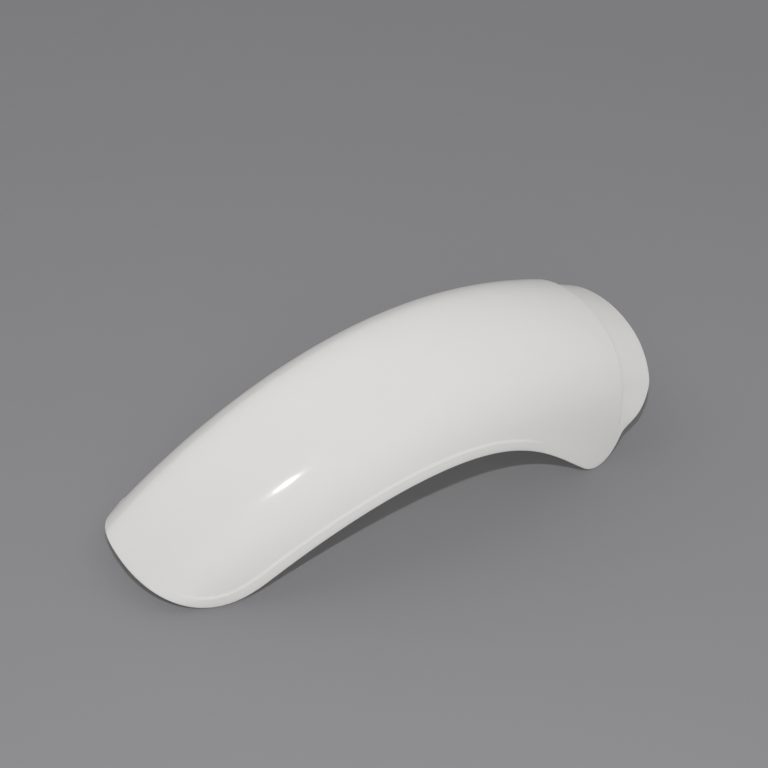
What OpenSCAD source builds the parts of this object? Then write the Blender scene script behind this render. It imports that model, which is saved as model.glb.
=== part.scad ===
// Rear fender of a motocross motorcycle: one moulded shell of even thickness.
// X runs from the tail to the nose, Y across and Z up. The shell lies on its rims, arch up.
// A place on the shell is given by s, the distance along the crown from the tail tip,
// and w, the distance from the crown measured round the section, with -Y as the near side.

/* [Crown line] */
// Length of the shell along its crown, from the tail tip to the nose
crown_length = 588; // [540:1:660]
// Bend of the crown at the tail, as the degrees that it would turn over the whole length
bend_angle_tail = 60; // [40:1:90]
// Bend that pulls on the crown a third of the way along, in the same degrees
bend_angle_rear = 3; // [-15:1:25]
// Bend that pulls on the crown two thirds of the way along
bend_angle_front = 145; // [110:1:165]
// Bend of the crown at the nose
bend_angle_nose = 34; // [10:1:80]

/* [Section] */
// Half width at the tail
half_tail = 79; // [72:0.5:92]
// Half width that pulls a third of the way along
half_rear = 100.5; // [92:0.5:112]
// Half width that pulls two thirds of the way along
half_front = 100; // [90:0.5:110]
// Half width at the nose
half_nose = 112; // [100:0.5:120]
// Slope of the side walls at the tail, in degrees from flat
slope_angle_tail = 63; // [52:0.5:70]
// Slope of the walls that pulls a third of the way along
slope_angle_rear = 58.5; // [44:0.5:64]
// Slope of the walls that pulls two thirds of the way along
slope_angle_front = 68.5; // [60:0.5:78]
// Slope of the walls at the nose
slope_angle_nose = 78; // [68:0.5:86]
// Share of the slope that the top takes up as one even curve, the rest being in the shoulders
top_round = 0.75; // [0.5:0.01:0.9]
// Where the shoulder starts, as a share of the way from the crown to the wall
shoulder_start = 0.2; // [0.1:0.01:0.4]
// Where the shoulder ends, as a share of the way from the crown to the wall
shoulder_end = 0.97; // [0.8:0.01:1]

/* [Rim] */
// Straight wall below the shoulder at the tail
skirt_tail = 16.5; // [10:0.5:22]
// Straight wall that pulls a third of the way along
skirt_rear = 7; // [0:0.5:12]
// Straight wall that pulls two thirds of the way along
skirt_front = 1; // [0:0.5:8]
// Straight wall at the nose
skirt_nose = 16; // [6:0.5:18]
// Length of the rounded tail end
tail_depth = 96; // [80:1:120]
// Fullness of the tail outline, where 2 is an ellipse and more is squarer
tail_fullness = 2.8; // [2:0.05:3.2]
// Width of the raised lip along the rim, up to the middle of its ledge
lip_width = 9.5; // [6:0.5:12]
// Width of the ledge by which the lip stands out from the wall
lip_ledge = 2; // [1.5:0.1:3]
// How far the lip stands out
lip_out = 1.2; // [0.6:0.1:2]
// How far the rim bends back in from the lip
lip_curl = 0.6; // [0:0.1:1]
// Distance from the nose at which the lip starts to run out
lip_end = 188; // [170:1:210]
// Length over which the lip runs out
lip_fade = 42; // [25:1:60]

/* [Front] */
// Distance of the middle of the side lobes' swell from the nose
lobe_from_nose = 58; // [50:1:70]
// How far the side lobes drop below the wall
lobe_drop = 35; // [28:1:46]
// Half length of the swell
lobe_spread = 105; // [85:1:115]
// Distance from the nose at which the rounded front corner of a lobe starts
lobe_corner_start = 91; // [84:1:100]
// Radius of that corner
lobe_corner = 53; // [44:1:62]
// Steepness of the short straight edge that follows it, in degrees
flank_angle = 71.5; // [60:0.5:78]
// Rounding of the notch between lobe and tongue
notch_round = 3.5; // [1:0.5:8]
// Half width of the tongue where it starts, measured round the section
tongue_reach = 156; // [148:0.5:162]
// How much the tongue narrows on each side for each mm of its length
tongue_taper = 0.76; // [0.5:0.01:1]
// Radius of the nose corners
nose_corner = 22; // [16:1:34]
// Length of the stepped-down tongue along the crown
tongue_length = 46; // [40:1:56]
// Depth of the step
step_depth = 5; // [2:0.5:7]
// Length of the ramp that makes the step
step_ramp = 3.5; // [3:0.5:8]
// Distance from the crown at which the step starts to fade down the walls
step_fade_start = 110; // [96:1:118]
// Distance from the crown at which the step is gone
step_fade_end = 150; // [130:1:155]

/* [Wall] */
// Thickness of the plastic
wall = 3; // [2.4:0.1:4]
// How far the rounded edge stands out past the two faces
edge_round = 1.2; // [0.6:0.1:1.6]

/* [Hidden] */

// Steps of the table along the crown, and of each table round half a section
crown_steps = 118;
section_steps = 32;
// Rows of the mesh round the tail, along the side, along the lobe, on the ramp, on the tongue
// and round the nose corner
tail_rows = 12;
side_rows = 24;
lobe_rows = 24;
ramp_rows = 3;
tongue_rows = 7;
corner_rows = 8;
// Faces from the rim to the crown
half_faces = 17;
// Where the mesh line of the tail tip ends on the crown, as a share of the tail's length
tip_share = 0.35;
// Share of the half width inside which the tail edge has no lip, and the share where it is whole
lip_clear = 0.58;
lip_whole = 0.72;

bends = [bend_angle_tail, bend_angle_rear, bend_angle_front, bend_angle_nose];
halves = [half_tail, half_rear, half_front, half_nose];
slopes = [slope_angle_tail, slope_angle_rear, slope_angle_front, slope_angle_nose];
skirts = [skirt_tail, skirt_rear, skirt_front, skirt_nose];
lobe_place = crown_length - lobe_from_nose;
lobe_corner_place = crown_length - lobe_corner_start;
step_place = crown_length - tongue_length;
corner_place = crown_length - nose_corner;
lip_last = crown_length - lip_end;
// Distance from the rim at which the ledge starts, and those of the mesh lines on lip and ledge
ledge_start = lip_width - lip_ledge / 2;
lip_lines = [0, ledge_start / 2, ledge_start, lip_width, ledge_start + lip_ledge];

function smooth(t) = let (c = min(max(t, 0), 1)) c * c * (3 - 2 * c);
function mix(a, b, t) = a * (1 - t) + b * t;
// Four values spread along the crown as the pulls of one cubic curve
function pulled(v, u) =
    v[0] * pow(1 - u, 3) + 3 * v[1] * u * pow(1 - u, 2) + 3 * v[2] * u * u * (1 - u) + v[3] * pow(u, 3);
function along(v, s) = pulled(v, s / crown_length);

// Crown line: its heading in degrees, then its place and heading, at each table step
pace = crown_length / crown_steps;
headings = [
    for (i = 0, a = 0; i <= crown_steps; a = a - along(bends, (i + 0.5) * pace) / crown_steps, i = i + 1) a
];
function mid_heading(i) = (headings[i] + headings[min(i + 1, crown_steps)]) / 2;
crown = [
    for (i = 0, x = 0, z = 0; i <= crown_steps;
        x = x + pace * cos(mid_heading(i)), z = z + pace * sin(mid_heading(i)), i = i + 1)
    [x, z, headings[i]]
];

// Section, as if the way from the crown to the wall were 1 long: across, depth and slope
function turn(slope, q) =
    slope * (top_round * q
        + (1 - top_round) * smooth((q - shoulder_start) / (shoulder_end - shoulder_start)));
function section(slope) = [
    for (j = 0, y = 0, d = 0; j <= section_steps;
        y = y + cos(turn(slope, (j + 0.5) / section_steps)) / section_steps,
        d = d + sin(turn(slope, (j + 0.5) / section_steps)) / section_steps, j = j + 1)
    [y, d, turn(slope, j / section_steps)]
];
sections = [for (i = [0:crown_steps]) section(along(slopes, i * pace))];
// Distance from the crown to the foot of the shoulder at each table step
feet = [for (i = [0:crown_steps]) along(halves, i * pace) / sections[i][section_steps].x];

function table_place(s) = min(max(floor(s / pace), 0), crown_steps - 1);
function foot(s) = let (i = table_place(s)) mix(feet[i], feet[i + 1], s / pace - i);
function whole_side(s) = foot(s) + along(skirts, s);

function section_point(i, w) =
    let (
        q = w / feet[i],
        t = min(q, 1) * section_steps,
        j = min(floor(t), section_steps - 1),
        p = mix(sections[i][j], sections[i][j + 1], t - j),
        past = max(q - 1, 0)
    )
    [feet[i] * (p.x + past * cos(p.z)), feet[i] * (p.y + past * sin(p.z)), p.z];

// Point of the shell at s and w, moved out of the surface by a distance
function on_shell(s, w, out) =
    let (
        i = table_place(s),
        f = s / pace - i,
        c = mix(crown[i], crown[i + 1], f),
        p = mix(section_point(i, abs(w)), section_point(i + 1, abs(w)), f),
        up = out * cos(p.z) - p.y
    )
    [c.x - sin(c.z) * up, sign(w) * (p.x + out * sin(p.z)), c.y + cos(c.z) * up];

// Outline of one side: [s, w, place on the crown where that row ends]
function lobe(s) = lobe_drop * exp(-pow((s - lobe_place) / lobe_spread, 2));
function tail_outline(a) =
    let (e = 2 / tail_fullness, s = tail_depth * (1 - pow(cos(a), e)))
    [s, (whole_side(s) + lobe(s)) * pow(sin(a), e), tail_depth * mix(tip_share, 1, sin(a))];
// Drop of an edge that runs into a corner of radius r and goes on straight once it is steep
function corner_drop(x, r, steep) =
    let (turn = r * sin(steep), c = min(max(x, 0), turn))
    r - sqrt(pow(r, 2) - pow(c, 2)) + (x > turn ? (x - turn) * tan(steep) : 0);
function side_reach(s) =
    let (
        lobed = whole_side(s) + lobe(s) - corner_drop(s - lobe_corner_place, lobe_corner, flank_angle),
        narrowed = tongue_reach - tongue_taper * max(s - step_place, 0),
        tongue = narrowed - corner_drop(s - corner_place, nose_corner, 90)
    )
    s < lobe_corner_place ? lobed : (lobed + tongue + norm([lobed - tongue, notch_round])) / 2;
function steps(a, b, n) = [for (i = [1:n]) mix(a, b, i / n)];
lobe_start = lobe_place - lobe_spread;
side_stations = concat(
    steps(tail_depth, lobe_start, side_rows),
    steps(lobe_start, step_place, lobe_rows),
    steps(step_place, step_place + step_ramp, ramp_rows),
    steps(step_place + step_ramp, corner_place, tongue_rows),
    [for (a = steps(0, 90, corner_rows)) corner_place + nose_corner * sin(a)]
);
outline = concat(
    [for (i = [0:tail_rows]) tail_outline(90 * i / tail_rows)],
    [for (s = side_stations) [s, side_reach(s), s]]
);
last_row = len(outline) - 1;

// How far the lip and the step move the surface at s and w, at a distance from the rim
function lip_share(s, w) =
    (1 - smooth((s - lip_last) / lip_fade))
    * smooth((abs(w) / whole_side(s) - lip_clear) / (lip_whole - lip_clear));
function lip(s, w, from_rim) =
    lip_share(s, w) * (
        lip_out * (1 - smooth((from_rim - ledge_start) / lip_ledge))
        - lip_curl * pow(max(1 - from_rim / ledge_start, 0), 2));
function step_down(s, w) =
    -step_depth * smooth((s - step_place) / step_ramp)
    * (1 - smooth((abs(w) - step_fade_start) / (step_fade_end - step_fade_start)));

// Distances from the rim at which a row of a given length has its points
function row_places(length) =
    concat(lip_lines, steps(ledge_start + lip_ledge, length, half_faces + 1 - len(lip_lines)));
// One point of a row, at a distance from the rim and below the outer face
function row_point(i, side, from_rim, below) =
    let (
        o = outline[i],
        length = norm([o[0] - o[2], o[1]]),
        t = from_rim / length,
        s = mix(o[0], o[2], t),
        w = side * o[1] * (1 - t)
    )
    on_shell(s, w, lip(s, w, from_rim) + step_down(s, w) - below);
function half_row(i, side, below) =
    let (o = outline[i])
    [for (d = row_places(norm([o[0] - o[2], o[1]]))) row_point(i, side, d, below)];
function drop_last(v) = [for (i = [0:len(v) - 2]) v[i]];
function backwards(v) = [for (i = [len(v) - 1:-1:0]) v[i]];
function whole_row(i, below) = concat(drop_last(half_row(i, -1, below)), backwards(half_row(i, 1, below)));
row_size = 2 * half_faces + 1;
function face(below) = [for (i = [0:last_row]) each whole_row(i, below)];

// Rounded edge: a line of points half way through the wall, just outside both faces
function side_edge(i, side) =
    row_point(i, side, -edge_round, wall / 2);
function nose_edge(k) =
    let (
        o = outline[last_row],
        places = row_places(o[1]),
        side = k < half_faces ? -1 : 1,
        from_rim = places[k < half_faces ? k : 2 * half_faces - k],
        w = side * (o[1] - from_rim),
        s = crown_length + edge_round
    )
    on_shell(s, w, step_down(s, w) - wall / 2);
edge = concat(
    [for (i = [0:last_row - 1]) side_edge(i, -1)],
    [for (k = [0:2 * half_faces]) nose_edge(k)],
    [for (i = [last_row - 1:-1:1]) side_edge(i, 1)]
);
edge_size = len(edge);

// Numbers of the points. Row 0 is the tail tip's own line, where the two sides share one half.
face_size = row_size * (last_row + 1);
function number(i, k) = i * row_size + (i == 0 && k > half_faces ? 2 * half_faces - k : k);
rim_numbers = concat(
    [for (i = [0:last_row - 1]) number(i, 0)],
    [for (k = [0:2 * half_faces]) number(last_row, k)],
    [for (i = [last_row - 1:-1:1]) number(i, 2 * half_faces)]
);
function two(a, b, c, d) = [[a, b, c], [a, c, d]];
outer_faces = [
    for (i = [0:last_row - 1], k = [0:row_size - 2])
        each two(number(i, k), number(i, k + 1), number(i + 1, k + 1), number(i + 1, k))
];
inner_faces = [for (f = outer_faces) [f[2] + face_size, f[1] + face_size, f[0] + face_size]];
edge_faces = [
    for (n = [0:edge_size - 1])
        let (
            m = (n + 1) % edge_size,
            middle = 2 * face_size
        )
        each concat(
            two(rim_numbers[n], rim_numbers[m], middle + m, middle + n),
            two(middle + n, middle + m, face_size + rim_numbers[m], face_size + rim_numbers[n])
        )
];

// Rest: the shell is turned until its tail and its lobes touch the ground together
function turned(p, a) = [p.x * cos(a) - p.z * sin(a), p.y, p.x * sin(a) + p.z * cos(a)];
function lowest(points) = let (z = min([for (p = points) p.z])) [for (p = points) if (p.z == z) p][0];
settling_turns = 8;
function resting_angle(tail, front, angle, turns) =
    turns == 0 ? angle :
    let (
        a = lowest([for (p = tail) turned(p, angle)]),
        b = lowest([for (p = front) turned(p, angle)])
    )
    resting_angle(tail, front, angle - atan2(b.z - a.z, b.x - a.x), turns - 1);

outer_points = face(0);
inner_points = face(wall);
rim_points = concat(edge, [for (n = rim_numbers) outer_points[n]], [for (n = rim_numbers) inner_points[n]]);
middle_x = (min([for (p = edge) p.x]) + max([for (p = edge) p.x])) / 2;
angle = resting_angle(
    [for (p = rim_points) if (p.x < middle_x) p],
    [for (p = rim_points) if (p.x >= middle_x) p],
    0, settling_turns
);
laid_points = [for (p = concat(outer_points, inner_points, edge)) turned(p, angle)];
floor_z = min([for (p = laid_points) p.z]);
centre_x = (min([for (p = laid_points) p.x]) + max([for (p = laid_points) p.x])) / 2;

// The shell with its lip, side lobes, step and tongue
module fender() {
    color("whitesmoke")
        polyhedron(
            [for (p = laid_points) p - [centre_x, 0, floor_z]],
            concat(outer_faces, inner_faces, edge_faces)
        );
}

fender();
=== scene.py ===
import math
import bpy
import numpy as np
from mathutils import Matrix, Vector


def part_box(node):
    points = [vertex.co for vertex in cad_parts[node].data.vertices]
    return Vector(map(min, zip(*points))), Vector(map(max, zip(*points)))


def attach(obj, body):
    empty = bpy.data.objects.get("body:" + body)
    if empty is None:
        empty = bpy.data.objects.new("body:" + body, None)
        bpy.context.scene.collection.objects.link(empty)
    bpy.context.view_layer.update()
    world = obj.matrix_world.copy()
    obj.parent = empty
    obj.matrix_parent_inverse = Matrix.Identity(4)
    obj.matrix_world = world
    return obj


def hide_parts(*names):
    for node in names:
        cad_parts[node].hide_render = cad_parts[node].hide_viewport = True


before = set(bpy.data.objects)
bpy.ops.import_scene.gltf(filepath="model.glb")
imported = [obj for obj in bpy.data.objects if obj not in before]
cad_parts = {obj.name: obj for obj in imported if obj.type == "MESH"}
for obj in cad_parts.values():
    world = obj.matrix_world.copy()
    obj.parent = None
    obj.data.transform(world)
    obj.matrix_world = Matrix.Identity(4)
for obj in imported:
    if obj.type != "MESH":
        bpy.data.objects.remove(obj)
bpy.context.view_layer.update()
cadLow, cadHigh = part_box("fender")
print("frame loaded, fender box in mm:", [round(1000 * v, 1) for v in cadHigh - cadLow])

# The shell's sizes, in mm and degrees. They are the CAD's, but the lip's ledge and run-out and
# the step's ramp are drawn a little differently, after the highlights in the photograph.
# s runs along the crown from the tail tip, w round the section from the crown.
shellShape = {
    "crownLength": 588.0,  # along the crown, from the tail tip to the nose
    "bends": (60.0, 3.0, 145.0, 34.0),  # pulls of the crown's bend, tail to nose
    "halfWidths": (79.0, 100.5, 100.0, 112.0),  # across to the shoulder's foot
    "slopes": (63.0, 58.5, 68.5, 78.0),  # slope of the flank at that foot
    "skirts": (16.5, 7.0, 1.0, 16.0),  # straight wall below the shoulder
    "topRound": 0.75,  # share of the turn that is spread evenly round the section
    "shoulderStart": 0.2,  # the rest lies between these shares of the way to the foot
    "shoulderEnd": 0.97,
    "tailDepth": 96.0,  # length of the rounded tail
    "tailFullness": 2.8,  # power of its outline, where 2 would be an ellipse
    "lipWidth": 9.5,  # from the rim to the middle of the ledge
    "lipLedge": 3.0,
    "lipOut": 1.1,  # how far the lip stands out
    "lipCurl": 0.6,  # how much of that it loses towards the rim
    "lipEnd": 188.0,  # from the nose to where the lip starts to run out
    "lipFade": 34.0,
    "lipClear": 0.58,  # shares of the way round where the tail's lip starts and is whole
    "lipWhole": 0.72,
    "lobeFromNose": 58.0,  # from the nose to the lobe's middle
    "lobeDrop": 35.0,
    "lobeSpread": 105.0,
    "lobeCornerStart": 91.0,  # from the nose to where the lobe's front corner starts
    "lobeCorner": 53.0,
    "lobeFlank": 71.5,  # steepness of the lobe's front
    "notchRound": 3.5,  # softens the notch between lobe and tongue
    "tongueReach": 156.0,  # half of the tongue at the step, round the section
    "tongueTaper": 0.76,  # narrowing of that half for each mm of length
    "noseCorner": 22.0,
    "tongueLength": 46.0,  # from the step to the nose
    "stepDepth": 5.0,
    "stepRamp": 2.2,
    "stepFadeStart": 110.0,  # the step fades out between these distances from the crown
    "stepFadeEnd": 150.0,
    "wall": 3.0,
    "edgeRound": 1.2,  # how far the rounded edge stands past the rim
}
shellMesh = {
    "tableSteps": 480,  # steps of the crown line
    "sectionSteps": 96,
    "tailRows": 48,
    "sideRows": 116,
    "lobeRows": 92,
    "rampRows": 14,
    "tongueRows": 26,
    "cornerRows": 26,
    "lipFaces": 8,
    "ledgeFaces": 10,
    "topFaces": 46,  # from the ledge to the crown
    "evenShare": 0.35,  # share of their spread that is even; the rest crowds towards the ledge
    "crowding": 1.35,
    "rimRings": 7,  # rings of points round the edge of the wall
    "tipShare": 0.35,  # share of the tail's length that its first row spans on the crown
    "settlingTurns": 8,  # rounds of finding what the shell rests on
}


def smooth(t):
    t = np.clip(t, 0.0, 1.0)
    return t * t * (3 - 2 * t)


def pulled(values, u):
    a, b, c, d = values
    return a * (1 - u) ** 3 + 3 * b * u * (1 - u) ** 2 + 3 * c * u * u * (1 - u) + d * u ** 3


def runningSum(steps, axis=-1):
    start = np.zeros_like(np.take(steps, [0], axis=axis))
    return np.concatenate([start, np.cumsum(steps, axis=axis)], axis=axis)


# Tables of the crown line and of the section at each step along it
def shellTables(shape, mesh):
    u = np.linspace(0.0, 1.0, mesh["tableSteps"] + 1)
    middle = (u[1:] + u[:-1]) / 2
    pace = shape["crownLength"] / mesh["tableSteps"]
    heading = np.radians(runningSum(-pulled(shape["bends"], middle) / mesh["tableSteps"]))
    way = (heading[1:] + heading[:-1]) / 2
    q = np.linspace(0.0, 1.0, mesh["sectionSteps"] + 1)
    shoulder = smooth((q - shape["shoulderStart"]) / (shape["shoulderEnd"] - shape["shoulderStart"]))
    turnShare = shape["topRound"] * q + (1 - shape["topRound"]) * shoulder
    turn = np.radians(pulled(shape["slopes"], u))[:, None] * turnShare[None, :]
    between = (turn[:, 1:] + turn[:, :-1]) / 2
    across = runningSum(np.cos(between) / mesh["sectionSteps"])
    depth = runningSum(np.sin(between) / mesh["sectionSteps"])
    foot = pulled(shape["halfWidths"], u) / across[:, -1]
    return {
        "s": u * shape["crownLength"],
        "pace": pace,
        "heading": heading,
        "x": runningSum(pace * np.cos(way)),
        "z": runningSum(pace * np.sin(way)),
        "turn": turn,
        "across": across,
        "depth": depth,
        "foot": foot,
        "side": foot + pulled(shape["skirts"], u),
    }


def sectionPoint(tables, row, w):
    foot = tables["foot"][row]
    count = tables["turn"].shape[1] - 1
    q = w / foot
    t = np.clip(q, 0.0, 1.0) * count
    j = np.minimum(t.astype(int), count - 1)
    f = t - j
    across = tables["across"][row, j] * (1 - f) + tables["across"][row, j + 1] * f
    depth = tables["depth"][row, j] * (1 - f) + tables["depth"][row, j + 1] * f
    turn = tables["turn"][row, j] * (1 - f) + tables["turn"][row, j + 1] * f
    past = np.maximum(q - 1, 0.0)
    return foot * (across + past * np.cos(turn)), foot * (depth + past * np.sin(turn)), turn


# Point of the shell at s and w, moved out of the surface by a distance
def onShell(tables, s, w, out):
    t = s / tables["pace"]
    i = np.clip(np.floor(t).astype(int), 0, len(tables["s"]) - 2)
    f = t - i
    yLow, dLow, aLow = sectionPoint(tables, i, np.abs(w))
    yHigh, dHigh, aHigh = sectionPoint(tables, i + 1, np.abs(w))
    y = yLow * (1 - f) + yHigh * f
    depth = dLow * (1 - f) + dHigh * f
    turn = aLow * (1 - f) + aHigh * f
    x = tables["x"][i] * (1 - f) + tables["x"][i + 1] * f
    z = tables["z"][i] * (1 - f) + tables["z"][i + 1] * f
    heading = tables["heading"][i] * (1 - f) + tables["heading"][i + 1] * f
    up = out * np.cos(turn) - depth
    sideways = np.sign(w) * (y + out * np.sin(turn))
    return np.stack([x - np.sin(heading) * up, sideways, z + np.cos(heading) * up], axis=-1)


steepestDrop = 89.0  # degrees, short of upright so that a corner's drop stays finite


# Outline of one side: place along, place round, and where its row ends on the crown
def shellOutline(shape, mesh, tables):
    length = shape["crownLength"]
    lobePlace = length - shape["lobeFromNose"]
    stepPlace = length - shape["tongueLength"]
    cornerPlace = length - shape["noseCorner"]
    lobeStart = lobePlace - shape["lobeSpread"]
    lobeCornerPlace = length - shape["lobeCornerStart"]

    def lobe(s):
        return shape["lobeDrop"] * np.exp(-((s - lobePlace) / shape["lobeSpread"]) ** 2)

    def cornerDrop(x, radius, steep):
        turn = radius * math.sin(math.radians(steep))
        c = np.clip(x, 0, turn)
        straight = np.maximum(x - turn, 0) * math.tan(math.radians(min(steep, steepestDrop)))
        return radius - np.sqrt(np.maximum(radius ** 2 - c ** 2, 0)) + straight

    def sideReach(s):
        lobed = np.interp(s, tables["s"], tables["side"]) + lobe(s)
        lobed = lobed - cornerDrop(s - lobeCornerPlace, shape["lobeCorner"], shape["lobeFlank"])
        tongue = shape["tongueReach"] - shape["tongueTaper"] * np.maximum(s - stepPlace, 0)
        tongue = tongue - cornerDrop(s - cornerPlace, shape["noseCorner"], 90)
        joined = (lobed + tongue + np.hypot(lobed - tongue, shape["notchRound"])) / 2
        return np.where(s < lobeCornerPlace, lobed, joined)

    def steps(a, b, count):
        return np.linspace(a, b, count + 1)[1:]

    power = 2 / shape["tailFullness"]
    angle = np.linspace(0, math.pi / 2, mesh["tailRows"] + 1)
    tailS = shape["tailDepth"] * (1 - np.clip(np.cos(angle), 0, 1) ** power)
    tailW = (np.interp(tailS, tables["s"], tables["side"]) + lobe(tailS)) * np.sin(angle) ** power
    tip = mesh["tipShare"]
    tailFoot = shape["tailDepth"] * (tip + (1 - tip) * np.sin(angle))
    sideS = np.concatenate([
        steps(shape["tailDepth"], lobeStart, mesh["sideRows"]),
        steps(lobeStart, stepPlace, mesh["lobeRows"]),
        steps(stepPlace, stepPlace + shape["stepRamp"], mesh["rampRows"]),
        steps(stepPlace + shape["stepRamp"], cornerPlace, mesh["tongueRows"]),
        cornerPlace + shape["noseCorner"] * np.sin(steps(0, math.pi / 2, mesh["cornerRows"])),
    ])
    return (
        np.concatenate([tailS, sideS]),
        np.concatenate([tailW, sideReach(sideS)]),
        np.concatenate([tailFoot, sideS]),
    )


# How far the lip stands out and the step goes in
def lipAndStep(shape, tables, s, w, fromRim):
    length = shape["crownLength"]
    share = np.abs(w) / np.interp(s, tables["s"], tables["side"])
    lipShare = 1 - smooth((s - length + shape["lipEnd"]) / shape["lipFade"])
    lipShare = lipShare * smooth((share - shape["lipClear"]) / (shape["lipWhole"] - shape["lipClear"]))
    ledgeStart = shape["lipWidth"] - shape["lipLedge"] / 2
    rise = shape["lipOut"] * (1 - smooth((fromRim - ledgeStart) / shape["lipLedge"]))
    rise = rise - shape["lipCurl"] * np.maximum(1 - fromRim / ledgeStart, 0) ** 2
    onStep = smooth((s - length + shape["tongueLength"]) / shape["stepRamp"])
    fadeWidth = shape["stepFadeEnd"] - shape["stepFadeStart"]
    fade = 1 - smooth((np.abs(w) - shape["stepFadeStart"]) / fadeWidth)
    return rise * lipShare - shape["stepDepth"] * onStep * fade


# Distances from the rim of the points in each row
def rowPlaces(shape, mesh, lengths):
    ledgeStart = shape["lipWidth"] - shape["lipLedge"] / 2
    ledgeEnd = ledgeStart + shape["lipLedge"]
    near = np.concatenate([
        np.linspace(0, ledgeStart, mesh["lipFaces"] + 1),
        np.linspace(ledgeStart, ledgeEnd, mesh["ledgeFaces"] + 1)[1:],
    ])
    spread = np.linspace(0, 1, mesh["topFaces"] + 1)[1:]
    even = mesh["evenShare"]
    spread = even * spread + (1 - even) * spread ** mesh["crowding"]
    far = ledgeEnd + (lengths[:, None] - ledgeEnd) * spread[None, :]
    return np.concatenate([np.repeat(near[None, :], len(lengths), axis=0), far], axis=1)


def shellFace(shape, mesh, tables, outline, below):
    s, w, crownEnd = outline
    lengths = np.hypot(s - crownEnd, w)
    places = rowPlaces(shape, mesh, lengths)
    t = places / lengths[:, None]
    rowS = s[:, None] + (crownEnd - s)[:, None] * t
    rowW = w[:, None] * (1 - t)
    out = lipAndStep(shape, tables, rowS, rowW, places) - below
    near = onShell(tables, rowS, -rowW, out)
    far = onShell(tables, rowS, rowW, out)
    return np.concatenate([near[:, :-1], far[:, ::-1]], axis=1)


farFromRim = 1000.0  # mm, past any lip


# The line outside the rim that the rounded edge swings through
def edgeLine(shape, mesh, tables, outline):
    s, w, crownEnd = outline
    lengths = np.hypot(s - crownEnd, w)
    t = -shape["edgeRound"] / lengths
    sideS = s + (crownEnd - s) * t
    sideW = w * (1 - t)
    fromRim = np.full_like(sideS, -shape["edgeRound"])
    out = lipAndStep(shape, tables, sideS, sideW, fromRim) - shape["wall"] / 2
    near = onShell(tables, sideS, -sideW, out)
    far = onShell(tables, sideS, sideW, out)
    places = rowPlaces(shape, mesh, lengths[-1:])[0]
    noseW = w[-1] - places
    noseW = np.concatenate([-noseW[:-1], noseW[::-1]])
    noseS = np.full_like(noseW, shape["crownLength"] + shape["edgeRound"])
    out = lipAndStep(shape, tables, noseS, noseW, np.full_like(noseW, farFromRim)) - shape["wall"] / 2
    nose = onShell(tables, noseS, noseW, out)
    return np.concatenate([near[:-1], nose, far[-2:0:-1]])


def turnedRound(points, angle):
    c, s = math.cos(angle), math.sin(angle)
    x, z = points[..., 0], points[..., 2]
    return np.stack([x * c - z * s, points[..., 1], x * s + z * c], axis=-1)


# The angle at which the tail rim and the side lobes touch the ground together
def restingAngle(rim, turns):
    front = rim[:, 0] > (rim[:, 0].min() + rim[:, 0].max()) / 2
    angle = 0.0
    for _ in range(turns):
        laid = turnedRound(rim, angle)
        tailPart, frontPart = laid[~front], laid[front]
        a = tailPart[tailPart[:, 2].argmin()]
        b = frontPart[frontPart[:, 2].argmin()]
        angle -= math.atan2(b[2] - a[2], b[0] - a[0])
    return angle


def buildShell(shape, mesh):
    tables = shellTables(shape, mesh)
    outline = shellOutline(shape, mesh, tables)
    outer = shellFace(shape, mesh, tables, outline, 0.0)
    inner = shellFace(shape, mesh, tables, outline, shape["wall"])
    edge = edgeLine(shape, mesh, tables, outline)
    rows, rowSize = outer.shape[:2]
    number = np.arange(rows * rowSize).reshape(rows, rowSize)
    number[0, rowSize // 2:] = number[0, rowSize // 2::-1]  # the tail tip's row is folded in two
    rim = np.concatenate([number[:-1, 0], number[-1, :], number[-2:0:-1, -1]])

    def quads(a, b, c, d):
        return np.stack([a, b, c, d], axis=-1).reshape(-1, 4)

    outerQuads = quads(number[:-1, :-1], number[:-1, 1:], number[1:, 1:], number[1:, :-1])
    innerQuads = outerQuads[:, ::-1] + rows * rowSize
    outerPoints, innerPoints = outer.reshape(-1, 3), inner.reshape(-1, 3)
    points = [outerPoints, innerPoints]
    middle = (outerPoints[rim] + innerPoints[rim]) / 2
    half = (outerPoints[rim] - innerPoints[rim]) / 2
    rings = [rim]
    first = 2 * rows * rowSize
    for k in range(mesh["rimRings"]):
        a = math.pi * (k + 1) / (mesh["rimRings"] + 1)
        points.append(middle + math.cos(a) * half + math.sin(a) * (edge - middle))
        rings.append(first + k * len(rim) + np.arange(len(rim)))
    rings.append(rim + rows * rowSize)
    edgeQuads = [
        quads(np.roll(a, -1), a, b, np.roll(b, -1)) for a, b in zip(rings[:-1], rings[1:])
    ]
    edgeQuads = np.concatenate(edgeQuads)[:, ::-1]
    points = np.concatenate(points)
    rimPoints = np.concatenate([edge, outerPoints[rim], innerPoints[rim]])
    points = turnedRound(points, restingAngle(rimPoints, mesh["settlingTurns"]))
    faces = np.concatenate([outerQuads, innerQuads, edgeQuads])
    slots = np.repeat([0, 1, 0], [len(outerQuads), len(innerQuads), len(edgeQuads)])
    return points, faces, slots


# Brings the fine mesh onto the CAD box exactly, a change of well under a millimetre
def fitToBox(points, low, high):
    used = points.min(axis=0), points.max(axis=0)
    scale = (np.array(high) - np.array(low)) / (used[1] - used[0])
    return (points - used[0]) * scale + np.array(low)


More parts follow.
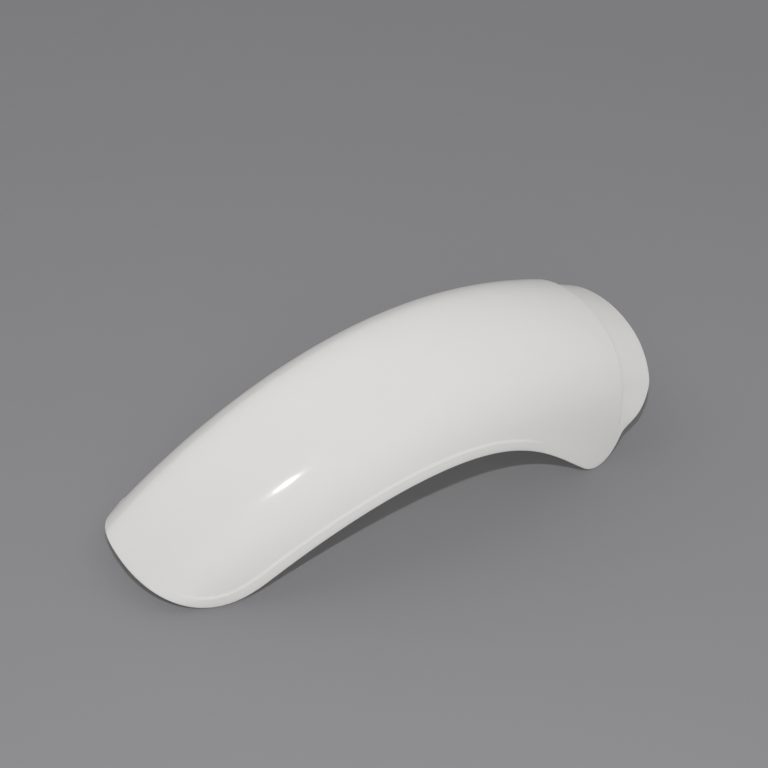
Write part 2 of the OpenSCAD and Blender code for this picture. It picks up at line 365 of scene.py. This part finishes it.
def makeMesh(name, points, faces, slots):
    used, compact = np.unique(faces, return_inverse=True)
    faces = compact.reshape(faces.shape)
    points = points[used]
    mesh = bpy.data.meshes.new(name)
    mesh.vertices.add(len(points))
    mesh.vertices.foreach_set("co", points.astype(np.float32).ravel())
    mesh.loops.add(faces.size)
    mesh.loops.foreach_set("vertex_index", faces.astype(np.int32).ravel())
    mesh.polygons.add(len(faces))
    mesh.polygons.foreach_set("loop_start", np.arange(0, faces.size, 4, dtype=np.int32))
    mesh.polygons.foreach_set("material_index", slots.astype(np.int32))
    mesh.update(calc_edges=True)
    mesh.validate()
    mesh.polygons.foreach_set("use_smooth", np.ones(len(faces), dtype=bool))
    return mesh


shellPoints, shellFaces, shellSlots = buildShell(shellShape, shellMesh)
shellPoints = fitToBox(shellPoints, cadLow, cadHigh)
fenderMesh = makeMesh("fenderShell", shellPoints, shellFaces, shellSlots)
fender = bpy.data.objects.new("fenderShell", fenderMesh)
bpy.context.scene.collection.objects.link(fender)
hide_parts("fender")
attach(fender, "root")
print("shell built:", len(shellFaces), "faces")


# Small helpers for shader nodes
def addNode(tree, kind, place, **settings):
    node = tree.nodes.new(kind)
    node.location = place
    for key, value in settings.items():
        setattr(node, key, value)
    return node


def newGroup(name, inputs, outputs):
    group = bpy.data.node_groups.new(name, "ShaderNodeTree")
    for label, kind, value in inputs:
        socket = group.interface.new_socket(name=label, in_out="INPUT", socket_type=kind)
        socket.default_value = value
    for label, kind in outputs:
        group.interface.new_socket(name=label, in_out="OUTPUT", socket_type=kind)
    return group


skinNoise = {
    "driftDetail": 3.0,
    "patchScale": 22.0,
    "patchDetail": 4.0,
    "patchMiddle": 0.5,
    "grainDetail": 2.0,
}


# Skin of a moulded face: slow drift of tone, patches of polish and a fine grain
def mouldedSkinGroup(noise):
    group = newGroup(
        "mouldedSkin",
        [
            ("Base", "NodeSocketColor", (0.8, 0.8, 0.8, 1.0)),
            ("Drift", "NodeSocketColor", (0.7, 0.7, 0.7, 1.0)),
            ("Drift Amount", "NodeSocketFloat", 0.3),
            ("Drift Scale", "NodeSocketFloat", 6.0),
            ("Polish", "NodeSocketFloat", 0.2),
            ("Polish Spread", "NodeSocketFloat", 0.05),
            ("Grain Scale", "NodeSocketFloat", 600.0),
        ],
        [("Colour", "NodeSocketColor"), ("Roughness", "NodeSocketFloat"), ("Height", "NodeSocketFloat")],
    )
    put = addNode(group, "NodeGroupInput", (-900, 0))
    got = addNode(group, "NodeGroupOutput", (500, 0))
    where = addNode(group, "ShaderNodeTexCoord", (-900, -300))
    drift = addNode(group, "ShaderNodeTexNoise", (-600, 200))
    drift.inputs["Detail"].default_value = noise["driftDetail"]
    amount = addNode(group, "ShaderNodeMath", (-300, 200), operation="MULTIPLY")
    tone = addNode(group, "ShaderNodeMix", (0, 200), data_type="RGBA")
    patches = addNode(group, "ShaderNodeTexNoise", (-600, -100))
    patches.inputs["Scale"].default_value = noise["patchScale"]
    patches.inputs["Detail"].default_value = noise["patchDetail"]
    centred = addNode(group, "ShaderNodeMath", (-300, -100), operation="SUBTRACT")
    centred.inputs[1].default_value = noise["patchMiddle"]
    polish = addNode(group, "ShaderNodeMath", (0, -100), operation="MULTIPLY_ADD")
    grain = addNode(group, "ShaderNodeTexNoise", (-600, -400))
    grain.inputs["Detail"].default_value = noise["grainDetail"]
    link = group.links.new
    for texture in (drift, patches, grain):
        link(where.outputs["Object"], texture.inputs["Vector"])
    link(put.outputs["Drift Scale"], drift.inputs["Scale"])
    link(drift.outputs["Fac"], amount.inputs[0])
    link(put.outputs["Drift Amount"], amount.inputs[1])
    link(amount.outputs[0], tone.inputs["Factor"])
    link(put.outputs["Base"], tone.inputs["A"])
    link(put.outputs["Drift"], tone.inputs["B"])
    link(patches.outputs["Fac"], centred.inputs[0])
    link(centred.outputs[0], polish.inputs[0])
    link(put.outputs["Polish Spread"], polish.inputs[1])
    link(put.outputs["Polish"], polish.inputs[2])
    link(put.outputs["Grain Scale"], grain.inputs["Scale"])
    link(tone.outputs["Result"], got.inputs["Colour"])
    link(polish.outputs[0], got.inputs["Roughness"])
    link(grain.outputs["Fac"], got.inputs["Height"])
    return group


def skinMaterial(name, group, finish):
    surface = finish["shader"]
    material = bpy.data.materials.new(name)
    material.use_nodes = True
    tree = material.node_tree
    tree.nodes.clear()
    skin = addNode(tree, "ShaderNodeGroup", (-600, 0), node_tree=group)
    for label, value in finish["skin"].items():
        skin.inputs[label].default_value = value
    bump = addNode(tree, "ShaderNodeBump", (-300, -200))
    bump.inputs["Strength"].default_value = surface["bumpStrength"]
    bump.inputs["Distance"].default_value = surface["bumpDistance"]
    shader = addNode(tree, "ShaderNodeBsdfPrincipled", (0, 0))
    shader.inputs["IOR"].default_value = surface["ior"]
    shader.inputs["Specular IOR Level"].default_value = surface["specular"]
    output = addNode(tree, "ShaderNodeOutputMaterial", (600, 0))
    link = tree.links.new
    link(skin.outputs["Colour"], shader.inputs["Base Color"])
    link(skin.outputs["Roughness"], shader.inputs["Roughness"])
    link(skin.outputs["Height"], bump.inputs["Height"])
    link(bump.outputs["Normal"], shader.inputs["Normal"])
    if surface["letsThrough"] == 0:
        link(shader.outputs["BSDF"], output.inputs["Surface"])
        return material
    through = addNode(tree, "ShaderNodeBsdfTranslucent", (0, -700))
    both = addNode(tree, "ShaderNodeMixShader", (350, 0))
    both.inputs["Fac"].default_value = surface["letsThrough"]
    through.inputs["Color"].default_value = surface["throughColour"]
    link(shader.outputs["BSDF"], both.inputs[1])
    link(through.outputs["BSDF"], both.inputs[2])
    link(both.outputs["Shader"], output.inputs["Surface"])
    return material


outerFinish = {
    "skin": {
        "Base": (0.88, 0.874, 0.862, 1.0),
        "Drift": (0.868, 0.862, 0.85, 1.0),
        "Drift Amount": 0.5,
        "Drift Scale": 7.0,
        "Polish": 0.12,
        "Polish Spread": 0.03,
        "Grain Scale": 420.0,
    },
    "shader": {
        "bumpStrength": 0.05, "bumpDistance": 0.0002, "ior": 1.49, "specular": 0.5,
        "letsThrough": 0.4, "throughColour": (0.9, 0.894, 0.882, 1.0),
    },
}
innerFinish = {
    "skin": {
        "Base": (0.87, 0.864, 0.852, 1.0),
        "Drift": (0.85, 0.845, 0.835, 1.0),
        "Drift Amount": 0.7,
        "Drift Scale": 9.0,
        "Polish": 0.38,
        "Polish Spread": 0.12,
        "Grain Scale": 900.0,
    },
    "shader": {
        "bumpStrength": 0.15, "bumpDistance": 0.0003, "ior": 1.49, "specular": 0.5,
        "letsThrough": 0.4, "throughColour": (0.9, 0.894, 0.882, 1.0),
    },
}
groundFinish = {
    "skin": {
        "Base": (0.228, 0.227, 0.235, 1.0),
        "Drift": (0.218, 0.218, 0.225, 1.0),
        "Drift Amount": 0.4,
        "Drift Scale": 3.0,
        "Polish": 0.75,
        "Polish Spread": 0.1,
        "Grain Scale": 1200.0,
    },
    "shader": {
        "bumpStrength": 0.05, "bumpDistance": 0.0002, "ior": 1.45, "specular": 0.25,
        "letsThrough": 0.0,
    },
}
mouldedSkin = mouldedSkinGroup(skinNoise)
glossOutside = skinMaterial("glossWhiteMoulding", mouldedSkin, outerFinish)
satinInside = skinMaterial("satinUnderside", mouldedSkin, innerFinish)
fender.data.materials.append(glossOutside)
fender.data.materials.append(satinInside)
print("materials made")

# Ground: one large plain sheet under the rims
groundSize = 12.0  # metres


def makeGround(size, material):
    half = size / 2
    corners = [(-half, -half, 0), (half, -half, 0), (half, half, 0), (-half, half, 0)]
    mesh = bpy.data.meshes.new("ground")
    mesh.from_pydata(corners, [], [(0, 1, 2, 3)])
    mesh.materials.append(material)
    sheet = bpy.data.objects.new("ground", mesh)
    bpy.context.scene.collection.objects.link(sheet)
    return sheet


ground = makeGround(groundSize, skinMaterial("greyGround", mouldedSkin, groundFinish))
print("ground made")

# Light: one bare lamp close above the near tail side, its far twin that only the gloss shows,
# and soft glows low round the room
lampSetup = {  # places in metres, power in watts
    "keyLamp": {"place": (-0.53, -0.875, 1.46), "width": 0.05, "power": 13.9, "glossy": False},
    "glintLamp": {"place": (-2.0, -2.26, 5.19), "width": 0.1, "power": 48.0, "glossy": True},
}
roomSetup = {
    "sharpness": 4.0,  # power of each glow's fall-off
    "lift": 25.0,  # degrees above the ground
    "glows": {  # bearing from +X towards +Y: strength
        -122.0: 1.6,
        -32.0: 0.92,
        103.0: 2.3,
        13.0: 0.81,
    },
}


def makeLamp(name, setup):
    light = bpy.data.lights.new(name, "AREA")
    light.shape = "DISK"
    light.size = setup["width"]
    light.energy = setup["power"]
    lamp = bpy.data.objects.new(name, light)
    lamp.location = setup["place"]
    lamp.rotation_mode = "QUATERNION"
    lamp.rotation_quaternion = lamp.location.to_track_quat("Z", "Y")
    lamp.visible_glossy = setup["glossy"]
    lamp.visible_diffuse = not setup["glossy"]
    bpy.context.scene.collection.objects.link(lamp)


def makeRoom(setup):
    world = bpy.data.worlds.new("room")
    world.use_nodes = True
    tree = world.node_tree
    tree.nodes.clear()
    output = addNode(tree, "ShaderNodeOutputWorld", (900, 0))
    background = addNode(tree, "ShaderNodeBackground", (700, 0))
    where = addNode(tree, "ShaderNodeTexCoord", (-600, 0))
    lift = math.radians(setup["lift"])
    total = None
    for i, (bearing, strength) in enumerate(setup["glows"].items()):
        b = math.radians(bearing)
        way = (math.cos(b) * math.cos(lift), math.sin(b) * math.cos(lift), math.sin(lift))
        towards = addNode(tree, "ShaderNodeVectorMath", (-400, -200 * i), operation="DOT_PRODUCT")
        towards.inputs[1].default_value = way
        front = addNode(tree, "ShaderNodeMath", (-200, -200 * i), operation="MAXIMUM")
        front.inputs[1].default_value = 0.0
        lobe = addNode(tree, "ShaderNodeMath", (0, -200 * i), operation="POWER")
        lobe.inputs[1].default_value = setup["sharpness"]
        part = addNode(tree, "ShaderNodeMath", (200, -200 * i), operation="MULTIPLY_ADD")
        part.inputs[1].default_value = strength
        part.inputs[2].default_value = 0.0
        tree.links.new(where.outputs["Generated"], towards.inputs[0])
        tree.links.new(towards.outputs["Value"], front.inputs[0])
        tree.links.new(front.outputs[0], lobe.inputs[0])
        tree.links.new(lobe.outputs[0], part.inputs[0])
        if total is not None:
            tree.links.new(total, part.inputs[2])
        total = part.outputs[0]
    tree.links.new(total, background.inputs["Strength"])
    tree.links.new(background.outputs["Background"], output.inputs["Surface"])
    bpy.context.scene.world = world


for lampName, lampValues in lampSetup.items():
    makeLamp(lampName, lampValues)
makeRoom(roomSetup)

# Camera: the photograph's angle, its lens matched for a picture 768 pixels square
cameraSetup = {
    "azimuth": -31.79,
    "elevation": 41.091,
    "distance": 1.62671,
    "target": (0.04121, 0.05618, 0.04),
    "lens": 76.773,  # mm, as is the sensor
    "sensor": 36.0,
}


def makeCamera(setup):
    a, e = math.radians(setup["azimuth"]), math.radians(setup["elevation"])
    back = Vector((math.sin(a) * math.cos(e), -math.cos(a) * math.cos(e), math.sin(e)))
    data = bpy.data.cameras.new("photoCamera")
    data.lens = setup["lens"]
    data.sensor_width = setup["sensor"]
    camera = bpy.data.objects.new("photoCamera", data)
    camera.location = Vector(setup["target"]) + back * setup["distance"]
    camera.rotation_mode = "QUATERNION"
    camera.rotation_quaternion = back.to_track_quat("Z", "Y")
    bpy.context.scene.collection.objects.link(camera)
    bpy.context.scene.camera = camera


makeCamera(cameraSetup)
bpy.context.scene.view_settings.view_transform = "Standard"
print("lamps, room and camera made")
